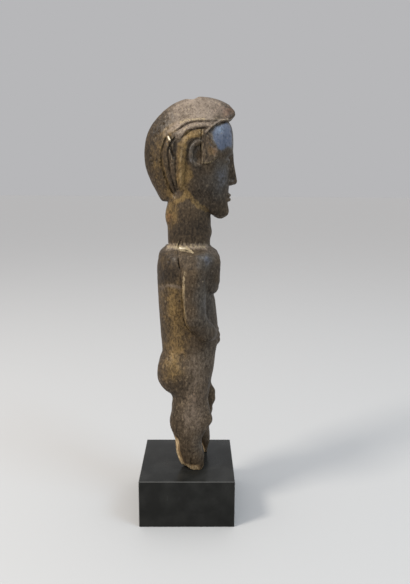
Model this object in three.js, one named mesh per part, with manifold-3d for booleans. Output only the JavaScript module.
// A carved wooden standing figure with breasts and a male member, broken off above the ankles,
// on a square black plinth. Lengths are millimetres, +Z is up, the figure faces -Y, and the
// origin is the middle of the plinth's underside. Places are written [x, forward, z]: x runs
// across the figure, with its left side at +x, and forward is the way it faces, so y = -forward.
// The figure is one piece of wood: rounded masses are joined, and the carving is cut into them.
import * as THREE from 'three';
import { mergeVertices } from 'three/addons/utils/BufferGeometryUtils.js';
import Module from 'manifold-3d';

const wasm = await Module();
wasm.setup();

// Driving dimensions
const PLINTH = { side: 80, height: 41, chamfer: 0.75 };
const NECK_JOINT_Z = 233.3;
const CROTCH_Z = 97;
const CHIN_Z = 256;
const HAIRLINE_Z = 333;

// Upright masses are lofted through oval sections: [z, back, front, middle, half width]
const TRUNK = [
  [CROTCH_Z, -6, 9, 0, 12],
  [102, -10, 15.5, 0, 22],
  [108, -13.6, 18.6, 0, 25.2],
  [118, -19.8, 20.6, 0, 26.2],
  [130, -22.4, 22.9, 0, 25],
  [142, -21.8, 24.2, 0, 22.4],
  [153, -22.6, 26, 0, 21.6],
  [170, -24.1, 25, 0, 22.4],
  [191, -25.2, 22.7, 0, 25.6],
  [205, -25.6, 23, 0, 29.4],
  [216, -25.4, 25, 0, 31.6],
  [224, -24.3, 25.8, 0, 30],
  [229, -22.6, 24.4, 0, 26],
  [NECK_JOINT_Z, -18.6, 19.4, 0, 18],
];
const NECK = [
  [NECK_JOINT_Z - 8, -15.8, 18.6, 0, 16.6],
  [240, -16.8, 18.8, 0, 16.4],
  [252, -17, 19, 0, 16],
  [264, -17.2, 18, 0, 16],
  [282, -15, 15, 0, 14],
];
const UPPER_ARM = [
  [167.5, 1, 11, 25, 4],
  [173, -2.2, 14.4, 25.4, 8.2],
  [188, -3.4, 14.6, 25.4, 8.6],
  [204, -4.8, 14.6, 24.6, 9.8],
  [217, -6, 13.8, 23, 10.8],
  [227, -2, 10, 20, 8],
];
const LEG = [
  [36, -5.4, 13.8, 14.4, 7],
  [47, -6.8, 14.5, 14.4, 7.6],
  [53, -7.6, 14.3, 14.3, 8.2],
  [60, -8.8, 13.1, 14.2, 8.9],
  [67, -10.6, 12.6, 14.1, 9.8],
  [73, -12.6, 15, 13.9, 10.6],
  [79, -14.9, 18.4, 13.8, 11.3],
  [85, -15.4, 21.3, 13.6, 11.6],
  [92, -14, 19.4, 13.3, 11.8],
  [104, -13, 17.6, 13, 12.6],
  [116, -11, 16.6, 12.6, 11.5],
];
// The left leg's shank steps forward below the knee: [z, how far]
const LEFT_SHANK_STEP = [
  [41, 3.4], [47, 3.8], [53, 5.6], [60, 6.8], [67, 6.8], [74, 5.2], [80, 2.6], [90, 0.2],
];
// The fractured ends, seen from the side: [forward, z] from the back round to the front
const RIGHT_BREAK = [
  [-11.4, 68], [-7.2, 49.6], [-4.6, 45.2], [0.6, 42.4], [5.4, PLINTH.height],
  [12.2, PLINTH.height], [14.6, 43.6],
];
const LEFT_BREAK = [
  [-4, 66], [6, 58], [12.4, 50], [14.4, 45], [15, PLINTH.height], [18.4, PLINTH.height], [19.6, 47],
];

// Limbs are round, with a radius at each place, and balls have half-axes [across, forward, up].
// What comes in pairs is given for the left side.
const FOREARM = { places: [[25.2, 6.6, 176], [20, 15.4, 163.4], [9.5, 23, 158.8]], radii: [8.4, 7.2, 4.2] };
const BREAST = { places: [[12.6, 17.2, 220], [12.6, 18.2, 206], [12.6, 18.6, 200.4]], radii: [9.9, 8.8, 7.4] };
const NAVEL = { places: [[0, 22, 161], [0, 24, 152]], radii: [4.2, 3.9] };
const MEMBER = {
  places: [[0, 15.6, 113], [0, 18.2, 104.6], [0, 18.6, 98.6], [0, 17.6, 91.6]], radii: [4, 5.2, 5.1, 4.2],
};
const BUTTOCK = { middle: [11.8, -8, 126.5], radii: [15.4, 17.8, 19.4] };
const THROAT_KNOB = { middle: [0, 15, 244.4], radii: [9, 4.9, 5.4] };
const NAPE_SCAR = { middle: [0, -14.4, 257.5], radii: [9.5, 4.2, 8.5] };
// Grooves are cut with round bars
const CLEFT = { places: [[0, -28, 134], [0, -23, 108]], radii: [4, 4.6] };
const SPINE = { places: [[0, -29.2, 220], [0, -26, 146]], radii: [4.2, 4.2] };
const ARM_GROOVE = {
  places: [[30.8, -5, 217], [29.8, -4.6, 204], [27.2, -3.8, 188], [26, -2.6, 175.5], [25.4, 0.4, 168]],
  radius: 1.3,
};

// The face is laid out in thirds between hairline and chin.
const THIRD = (HAIRLINE_Z - CHIN_Z) / 3;
const BROW_Z = HAIRLINE_Z - THIRD;
const NOSE_Z = BROW_Z - THIRD;
const MOUTH_Z = NOSE_Z - THIRD / 3;
const FOREHEAD = 36.6;
const SKULL = [
  [CHIN_Z, -14, 27, 0, 5],
  [CHIN_Z + 3, -14, 31.4, 0, 9.6],
  [MOUTH_Z, -14, 33, 0, 14.4],
  [NOSE_Z, -14, 33.6, 0, 17.8],
  [NOSE_Z + THIRD / 2, -14, 34.2, 0, 20],
  [BROW_Z, -14, 36.4, 0, 20.6],
  [BROW_Z + THIRD / 2, -14, FOREHEAD, 0, 20],
  [HAIRLINE_Z - 4, -14, 35, 0, 17],
  [HAIRLINE_Z + 1, -14, 31, 0, 12.5],
  [HAIRLINE_Z + 4, -14, 24, 0, 6],
];
const SOCKET = { middle: [9, FOREHEAD + 1.8, BROW_Z - 6], radii: [8, 7.2, 5.6] };
const EYE = { middle: [9, 29.6, BROW_Z - 6], radii: [6.2, 4.2, 3.2] };
const NOSE = { places: [[0, 34.4, BROW_Z - 1], [0, 37.6, NOSE_Z + 4.2]], radii: [2, 2.8] };
const NOSTRIL = { middle: [3, 35, NOSE_Z + 3.2], radii: [2.4, 3, 2.4] };
const UPPER_LIP = { middle: [0, 32.2, MOUTH_Z + 1.5], radii: [6, 3.2, 1.8] };
const LOWER_LIP = { middle: [0, 32.2, MOUTH_Z - 2], radii: [5.2, 3.2, 1.9] };
const CHIN = { middle: [0, 27.4, CHIN_Z + 5.4], radii: [7, 6, 5.3] };
// The jaw's underside, seen from the side, from behind the ear forward to the chin
const JAW = [[-16, 287], [-2.5, 277], [6, 270.4], [12, 265.2], [18, 260], [25, CHIN_Z + 0.6], [31, CHIN_Z]];

// Seen from the side the coiffure is part of a disc, thick in the middle and thin at its rim.
const DISC = { forward: 11.4, z: 304.8, radius: 46.9, rimDepth: 3.5 };
// Its half thickness by distance from the disc's centre
const HAIR_THICKNESS = [
  [0, 21.6], [18, 20.2], [27, 16.8], [32, 12.6], [39, 8.6], [DISC.radius - DISC.rimDepth, 6.4],
];
// Its blunt front end, then the hair's edge back over temple and ear, and the nape
const CREST_FRONT = [[34.2, 345.2], [37.6, 341], [37.9, 337.6]];
const HAIR_EDGE = [
  [35, 334.6], [27.4, 332], [20.2, 326.8], [14.8, 320.8], [10, 317.4], [5.3, 317.2],
  [1.6, 314], [-0.3, 309], [-1, 303], [-2.2, 292], [-3.2, 284], [-8, 270.4],
];
const NAPE = [[-18, 269.2], [-60, 269.2]];
// The grooves that part the crest from the first band of hair, and that band from the next
const CREST_GROOVE = [
  [21, 331.4], [13, 330.9], [2, 329.8], [-9.7, 323.2], [-16.5, 319], [-20.6, 306], [-19.6, 294],
  [-15.4, 282.4], [-9.8, 269],
];
const BAND_GROOVE = [
  [18.5, 326.1], [7.5, 325.4], [-0.2, 321.6], [-6.5, 316.6], [-13.6, 312], [-15.1, 303],
  [-13.7, 293.4], [-8, 271],
];
const HAIR_GROOVE_RADIUS = 1.3;
const CREST_CHIP = { places: [[-20, 2.9, 355.4], [20, 2.9, 355.4]], radii: [6, 6] };
const EAR = { x: 20.2, forward: 10.8, z: 306.6, halfWidth: 8, halfHeight: 8.8, rim: 1.9 };
const EAR_HOLLOW = { middle: [21, 8.2, 306.4], radii: [2.8, 4.4, 6.8] };
// The tab of hair before the ear, seen from the side
const TAB = {
  relief: 1.2,
  outline: [
    [10.9, 323.3], [14.7, 320.8], [20.6, 317.4], [22.5, 314.4], [24.2, 309.9], [24.7, 306.1],
    [23.6, 304.2], [18, 299.6], [11.2, 298.6],
  ],
};

/** The three.js vector of a place written [x, forward, z]. */
const at = ([x, forward, z]) => new THREE.Vector3(x, -forward, z);

/** The same place on the left side, as given, or mirrored to the right side. */
const onSide = (side, [x, forward, z]) => [side * x, forward, z];

/** What make builds for the left side, 1, and the right side, -1. */
const bothSides = (make) => [make(1), make(-1)];

/** The points of a closed oval outline round a middle. */
function ovalOutline([across, up], halfWidth, halfHeight, sides) {
  return Array.from({ length: sides }, (_, n) => {
    const angle = (n / sides) * 2 * Math.PI;
    return [across + Math.cos(angle) * halfWidth, up + Math.sin(angle) * halfHeight];
  });
}

/** Turns a closed geometry into a solid that can be joined and cut. */
function solid(geometry) {
  const shape = geometry.clone();
  shape.deleteAttribute('normal');
  shape.deleteAttribute('uv');
  const merged = mergeVertices(shape, 1e-4);
  const corners = [];
  for (let i = 0; i < merged.index.count; i += 3) {
    const face = [0, 1, 2].map((n) => merged.index.getX(i + n));
    if (new Set(face).size === 3) corners.push(...face);
  }
  return new wasm.Manifold(new wasm.Mesh({
    numProp: 3,
    vertProperties: new Float32Array(merged.attributes.position.array),
    triVerts: new Uint32Array(corners),
  }));
}

/** Turns a solid back into a geometry. */
function geometryOf(body) {
  const { vertProperties, triVerts } = body.getMesh();
  const geometry = new THREE.BufferGeometry();
  geometry.setAttribute('position', new THREE.BufferAttribute(vertProperties, 3));
  geometry.setIndex(new THREE.BufferAttribute(triVerts, 1));
  geometry.computeVertexNormals();
  return geometry;
}

/** Joins solids into one. */
const joined = (bodies) => bodies.reduce((sum, body) => sum.add(body));

/** A smooth curve through rising [at, value] stations, level beyond its ends. */
function curve(stations) {
  const last = stations.length - 1;
  const slope = (i) => {
    if (i === 0 || i === last) return 0;
    return (stations[i + 1][1] - stations[i - 1][1]) / (stations[i + 1][0] - stations[i - 1][0]);
  };
  return (place) => {
    if (place <= stations[0][0]) return stations[0][1];
    if (place >= stations[last][0]) return stations[last][1];
    const i = stations.findIndex((station) => station[0] > place) - 1;
    const [[a, from], [b, to]] = [stations[i], stations[i + 1]];
    const t = (place - a) / (b - a);
    const [t2, t3] = [t * t, t * t * t];
    const ends = from * (2 * t3 - 3 * t2 + 1) + to * (3 * t2 - 2 * t3);
    return ends + (b - a) * (slope(i) * (t3 - 2 * t2 + t) + slope(i + 1) * (t3 - t2));
  };
}

/** Moves every vertex of a geometry to the place [x, forward, z] that move gives for it. */
function reshaped(geometry, move) {
  const { position } = geometry.attributes;
  const vertex = new THREE.Vector3();
  for (let i = 0; i < position.count; i += 1) {
    vertex.fromBufferAttribute(position, i);
    position.setXYZ(i, ...at(move(vertex)));
  }
  return geometry;
}

/**
 * An upright mass through oval sections. A power over 2 squares the ovals off a little, side -1
 * mirrors the mass, widen makes it fatter all round, and step moves it forward by height.
 */
function loft(rows, { sides, levels, power = 2.3, side = 1, widen = 0, step = () => 0 }) {
  const columns = [1, 2, 3, 4].map((n) => curve(rows.map((row) => [row[0], row[n]])));
  const [low, high] = [rows[0][0], rows[rows.length - 1][0]];
  const wall = new THREE.CylinderGeometry(1, 1, 1, sides, levels);
  return solid(reshaped(wall, ({ x, y, z: along }) => {
    const z = THREE.MathUtils.lerp(low, high, y + 0.5);
    const [back, front, middle, half] = columns.map((column) => column(z));
    const size = (Math.abs(x) ** power + Math.abs(along) ** power) ** (1 / power);
    const reach = size > 0 ? Math.hypot(x, along) / size : 0;
    const forward = (back + front + widen) / 2 + along * reach * ((front + widen - back) / 2);
    return [side * middle + x * reach * (half + widen), forward + step(z), z];
  }));
}

/** An ellipsoid, on either side. */
function ball({ middle, radii }, sides, side = 1) {
  const sphere = new THREE.SphereGeometry(1, sides, Math.ceil(sides / 2)).scale(...radii);
  return solid(sphere.translate(...at(onSide(side, middle))));
}

/** One quarter of a round end, as profile points for a lathe. */
function roundEnd(radius, height, fromTurn, steps) {
  return Array.from({ length: steps + 1 }, (_, n) => {
    const angle = ((fromTurn + n / steps) * Math.PI) / 2;
    return new THREE.Vector2(Math.cos(angle) * radius, height + Math.sin(angle) * radius);
  });
}

/** A round limb from one place to another, whose radius changes on the way. */
function limb(from, to, fromRadius, toRadius, sides) {
  const [start, end] = [at(from), at(to)];
  const steps = Math.ceil(sides / 4);
  const foot = roundEnd(fromRadius, 0, -1, steps);
  const tip = roundEnd(toRadius, start.distanceTo(end), 0, steps);
  foot[0].x = 0;
  tip[steps].x = 0;
  const axis = end.sub(start).normalize();
  const turn = new THREE.Quaternion().setFromUnitVectors(new THREE.Vector3(0, 1, 0), axis);
  const lathe = new THREE.LatheGeometry([...foot, ...tip], sides).applyQuaternion(turn);
  return solid(lathe.translate(...start));
}

/** A chain of limbs, on either side. */
function chain({ places, radii }, sides, side = 1) {
  const path = places.map((place) => onSide(side, place));
  return joined(path.slice(1).map((to, n) => limb(path[n], to, radii[n], radii[n + 1], sides)));
}

/** A plate that runs across the whole figure, with an outline of [forward, z] points. */
function plate(outline) {
  const reach = 60;
  const shape = new THREE.Shape(outline.map((point) => new THREE.Vector2(...point)));
  const slab = new THREE.ExtrudeGeometry(shape, { depth: 2 * reach, bevelEnabled: false });
  return solid(reshaped(slab, ({ x, y, z }) => [reach - z, x, y]));
}

/** A bar of one radius along a smooth path. */
function bar(path, radius, steps, sides) {
  const section = new THREE.Shape(
    ovalOutline([0, 0], radius, radius, sides).map((point) => new THREE.Vector2(...point)),
  );
  return solid(new THREE.ExtrudeGeometry(section, {
    extrudePath: new THREE.CatmullRomCurve3(path.map(at)), steps, bevelEnabled: false,
  }));
}

/** One leg with its fracture, cut to the broken outline that it shows from the side. */
function makeLeg(side, fracture, step) {
  const whole = loft(LEG, { sides: 16, levels: 12, side, step });
  const [top, reach] = [130, 50];
  const kept = plate([...fracture, [reach, 60], [reach, top], [-reach, top], [-reach, 80]]);
  return whole.intersect(kept);
}

/** One arm, hanging close to the trunk and then bent forward to the belly. */
function makeArm(side) {
  return loft(UPPER_ARM, { sides: 14, levels: 7, side }).add(chain(FOREARM, 8, side));
}

function makeBody() {
  const masses = joined([
    loft(TRUNK, { sides: 28, levels: 21 }),
    ...bothSides((side) => ball(BUTTOCK, 16, side)),
    ...bothSides(makeArm),
    makeLeg(1, LEFT_BREAK, curve(LEFT_SHANK_STEP)),
    makeLeg(-1, RIGHT_BREAK),
  ]);
  const grooves = joined([
    chain(CLEFT, 8),
    chain(SPINE, 8),
    ...bothSides((side) => (
      bar(ARM_GROOVE.places.map((place) => onSide(side, place)), ARM_GROOVE.radius, 6, 5)
    )),
  ]);
  const front = joined([
    ...bothSides((side) => chain(BREAST, 12, side)),
    chain(NAVEL, 8),
    chain(MEMBER, 8),
  ]);
  return masses.subtract(grooves).add(front);
}

function makeNeck() {
  const shaft = loft(NECK, { sides: 22, levels: 5 });
  return joined([shaft, ball(THROAT_KNOB, 12), ball(NAPE_SCAR, 14)]);
}

/** The bare skull, cut along the jaw, and widened all round where something lies on it. */
function makeSkull(widen = 0) {
  const egg = loft(SKULL, { sides: 24, levels: 15, widen });
  const [top, reach] = [350, 50];
  return egg.intersect(plate([...JAW, [reach, CHIN_Z], [reach, top], [-reach, top], [-reach, 287]]));
}

/** Skull with eyes, nose, mouth and chin of a calm stock design. */
function makeFace() {
  const sockets = joined(bothSides((side) => ball(SOCKET, 10, side)));
  return joined([
    makeSkull().subtract(sockets),
    ...bothSides((side) => ball(EYE, 10, side)),
    chain(NOSE, 10),
    ...bothSides((side) => ball(NOSTRIL, 8, side)),
    ball(UPPER_LIP, 12),
    ball(LOWER_LIP, 12),
    ball(CHIN, 12),
  ]);
}

const hairThickness = curve(HAIR_THICKNESS);

/** The coiffure's full disc, turned about an axis across the head. */
function makeHairDisc() {
  const inner = DISC.radius - DISC.rimDepth;
  const profile = [];
  for (let radius = 0; radius < inner; radius += 7) profile.push([radius, hairThickness(radius)]);
  for (const turn of [0, 0.45, 1]) {
    const angle = (turn * Math.PI) / 2;
    profile.push([inner + DISC.rimDepth * Math.sin(angle), hairThickness(inner) * Math.cos(angle) ** 0.8]);
  }
  profile[profile.length - 1][1] = 0;
  const below = profile.map(([radius, half]) => new THREE.Vector2(radius, -half));
  const above = profile.slice(0, -1).reverse().map(([radius, half]) => new THREE.Vector2(radius, half));
  const lathe = new THREE.LatheGeometry([...below, ...above], 40).rotateZ(Math.PI / 2);
  return solid(lathe.translate(...at([0, DISC.forward, DISC.z])));
}

/** Crest and cap of hair, trimmed to the hairline, with their bands grooved in. */
function makeCoiffure() {
  const high = DISC.z + 80;
  const trim = plate([...CREST_FRONT, ...HAIR_EDGE, ...NAPE, [-60, high], [CREST_FRONT[0][0], high]]);
  const onSurface = ([forward, z]) => {
    const half = hairThickness(Math.hypot(forward - DISC.forward, z - DISC.z));
    return [half + HAIR_GROOVE_RADIUS / 4, forward, z];
  };
  const grooves = [CREST_GROOVE, BAND_GROOVE].flatMap((path) => bothSides((side) => (
    bar(path.map((point) => onSide(side, onSurface(point))), HAIR_GROOVE_RADIUS, 14, 4)
  )));
  return makeHairDisc().intersect(trim).subtract(joined([chain(CREST_CHIP, 12), ...grooves]));
}

/** The rim of one ear: a C that is open to the front. */
function makeEarRim(side) {
  const turns = [0.24, 0.31, 0.4, 0.5, 0.6, 0.69, 0.76];
  const path = turns.map((turn) => {
    const angle = turn * 2 * Math.PI;
    const forward = EAR.forward + Math.cos(angle) * EAR.halfWidth;
    return onSide(side, [EAR.x, forward, EAR.z + Math.sin(angle) * EAR.halfHeight]);
  });
  return bar(path, EAR.rim, 12, 6);
}

/** The head: face, the tabs of hair before the ears, coiffure and ears. */
function makeHead() {
  const tabs = makeSkull(TAB.relief).intersect(plate(TAB.outline));
  const hollows = joined(bothSides((side) => ball(EAR_HOLLOW, 10, side)));
  const whole = joined([makeFace(), makeCoiffure()]).subtract(hollows).add(tabs);
  return joined([whole, ...bothSides(makeEarRim)]);
}

function makePlinth() {
  const { side, height, chamfer } = PLINTH;
  const half = side / 2 - chamfer;
  const outline = [[-half, -half], [half, -half], [half, half], [-half, half]];
  const shape = new THREE.Shape(outline.map((point) => new THREE.Vector2(...point)));
  const block = new THREE.ExtrudeGeometry(shape, {
    depth: height - 2 * chamfer, bevelThickness: chamfer, bevelSize: chamfer, bevelSegments: 1,
  });
  return block.translate(0, 0, chamfer);
}

function namedMesh(name, geometry, color, roughness) {
  const mesh = new THREE.Mesh(geometry, new THREE.MeshStandardMaterial({ color, roughness, metalness: 0 }));
  mesh.name = name;
  return mesh;
}

const statuette = new THREE.Group();
const figure = joined([makeBody(), makeNeck(), makeHead()]);
statuette.add(namedMesh('figure', geometryOf(figure), 0x4a3c2e, 0.6));
statuette.add(namedMesh('plinth', makePlinth(), 0x1d1d1c, 0.55));

export default statuette;
